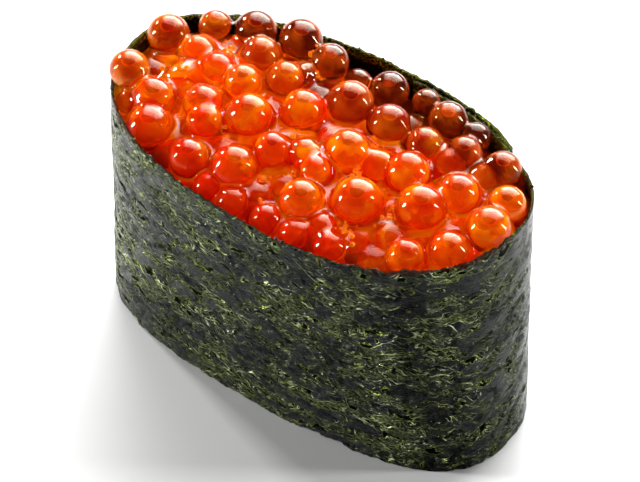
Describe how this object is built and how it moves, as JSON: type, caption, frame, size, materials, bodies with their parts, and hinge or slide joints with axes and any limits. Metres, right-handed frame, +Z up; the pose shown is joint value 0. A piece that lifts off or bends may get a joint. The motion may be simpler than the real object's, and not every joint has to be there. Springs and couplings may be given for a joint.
{
  "type": "gunkan sushi",
  "caption": "Gunkan sushi: an upright oval band of dark seaweed wound round a block of rice, heaped to its rim with glossy orange salmon roe.",
  "frame": {"origin": "middle of the foot, on the surface that it stands on", "axes": "+X along the long side, +Y across it, towards the side where the seaweed laps, +Z up"},
  "size_m": [0.059, 0.0319, 0.0406],
  "materials": {
    "nori": "dry seaweed sheet, dull green-black with paler fibres",
    "rice": "cooked rice, slightly moist",
    "roe": "wet, glossy, translucent orange"
  },
  "bodies": {
    "root": {"nori": "nori", "rice": "rice", "roe": "roe"}
  },
  "joints": []
}
